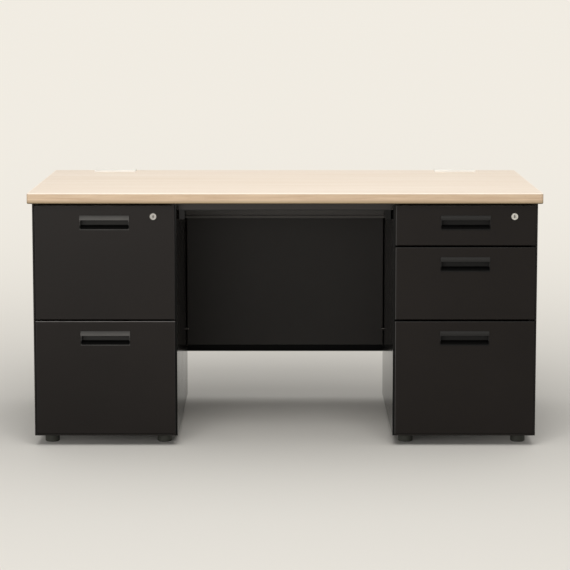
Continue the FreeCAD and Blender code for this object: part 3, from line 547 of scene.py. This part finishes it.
def fit_rear_screws():
    """Screws round the rear panel."""
    low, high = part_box("rear_panel")
    across, up = 24 * MM, 22 * MM
    columns = (low.x + across, low.x / 3, high.x / 3, high.x - across)
    seats = [(Vector((x, high.y, z)), (0, 1, 0)) for x in columns for z in (low.z + up, high.z - up)]
    rings = sized(PAN_HEAD, radius=4.5 * MM, height=2.2 * MM)
    add_piece("rear_panel_screws", "desk", "screw", rings, seats)


# Stage and light
PALE = rgb(0.88, 0.84, 0.765)  # what is seen of the surround
FLOOR_HALF = 60.0
FADE_REACH, FADE_POWER = 1.8, 3.0  # where the floor is half faded into the surround, and how fast it fades
WORLD_STRENGTH = 0.28
WARM = (1.0, 0.98, 0.95)
# Lamps: place, target, size, watts and colour
LAMPS = {
    "key": ((0.0, -2.3, 3.3), (0, -0.2, 0.5), (2.4, 1.8), 67, WARM),
    "overhead": ((0.2, 0.9, 4.0), (0.2, 0.9, 0), (5.0, 5.0), 84, WARM),
    "fill": ((-1.9, -4.9, 1.05), (0, 0, 0.5), (4.4, 1.9), 84, (1.0, 0.98, 0.96)),
}


def seen_rays(tree):
    """1 for what the camera sees straight, in a reflection or through glass."""
    rays = add_node(tree, "LightPath").outputs
    return merge(tree, "MAXIMUM", rays["Is Camera Ray"], rays["Is Glossy Ray"], rays["Is Transmission Ray"])


def make_floor():
    """A pale floor that fades into the surround far from the desk."""
    mesh = bpy.data.meshes.new("floor")
    corners = [(x * FLOOR_HALF, y * FLOOR_HALF, 0) for x, y in ((-1, -1), (1, -1), (1, 1), (-1, 1))]
    mesh.from_pydata(corners, [], [(0, 1, 2, 3)])
    floor = bpy.data.objects.new("floor", mesh)
    bpy.context.collection.objects.link(floor)
    material, tree, shader = new_tree("pale_floor")
    feed(tree, shader, {"Base Color": rgb(0.66, 0.65, 0.62), "Roughness": 0.9, "Specular IOR Level": 0.1})
    away = add_node(tree, "VectorMath", {0: place(tree)}, operation="LENGTH").outputs["Value"]
    far = merge(tree, "POWER", away, FADE_POWER)
    fade = merge(tree, "DIVIDE", far, merge(tree, "ADD", far, FADE_REACH ** FADE_POWER))
    share = merge(tree, "MULTIPLY", fade, seen_rays(tree))
    surround = add_node(tree, "Emission", {"Color": PALE, "Strength": 1.0})
    mixed = add_node(tree, "MixShader", {0: share, 1: shader.outputs[0], 2: surround.outputs[0]})
    feed(tree, tree.nodes["Material Output"], {"Surface": mixed.outputs[0]})
    mesh.materials.append(material)


def make_world():
    """An even pale surround; what it lends to diffuse light is set apart from what is seen of it."""
    world = bpy.data.worlds.new("surround")
    bpy.context.scene.world = world
    world.use_nodes = True
    tree = world.node_tree
    tree.nodes.clear()
    light = add_node(tree, "Background", {"Color": rgb(*WARM), "Strength": WORLD_STRENGTH})
    view = add_node(tree, "Background", {"Color": PALE, "Strength": 1.0})
    mixed = add_node(tree, "MixShader", {0: seen_rays(tree), 1: light.outputs[0], 2: view.outputs[0]})
    add_node(tree, "OutputWorld", {"Surface": mixed.outputs[0]})


def make_lamp(name, location, target, size, power, colour):
    """A rectangular lamp that points at its target."""
    data = bpy.data.lights.new(name, "AREA")
    data.shape = "RECTANGLE"
    data.size, data.size_y = size
    data.energy = power
    data.color = colour
    lamp = bpy.data.objects.new(name, data)
    lamp.location = location
    lamp.rotation_mode = "QUATERNION"
    lamp.rotation_quaternion = (Vector(target) - Vector(location)).to_track_quat("-Z", "Y")
    bpy.context.collection.objects.link(lamp)


# Camera: sensor and lens in millimetres, tilt in degrees below the horizon
SENSOR, LENS = 36.0, 127.91
EYE = (0, -5.802, 1.257)
TILT = 6.490
SHIFT = -0.12
SIGHT = 200


def make_camera():
    """The photograph's view from in front, framed low mostly by a tilt and partly by a shift."""
    data = bpy.data.cameras.new("camera")
    data.sensor_width = SENSOR
    data.lens = LENS
    data.shift_y = SHIFT
    data.clip_end = SIGHT
    camera = bpy.data.objects.new("camera", data)
    camera.location = EYE
    camera.rotation_euler = (math.radians(90 - TILT), 0, 0)
    bpy.context.collection.objects.link(camera)
    bpy.context.scene.camera = camera


dress_nodes()
soften_edges()
for drawer in DRAWERS:
    fit_runner_screws(drawer)
    fit_bumpers(drawer)
fit_rear_screws()
make_floor()
make_world()
for lamp_name, lamp_values in LAMPS.items():
    make_lamp(lamp_name, *lamp_values)
make_camera()
bpy.context.scene.view_settings.view_transform = "Standard"
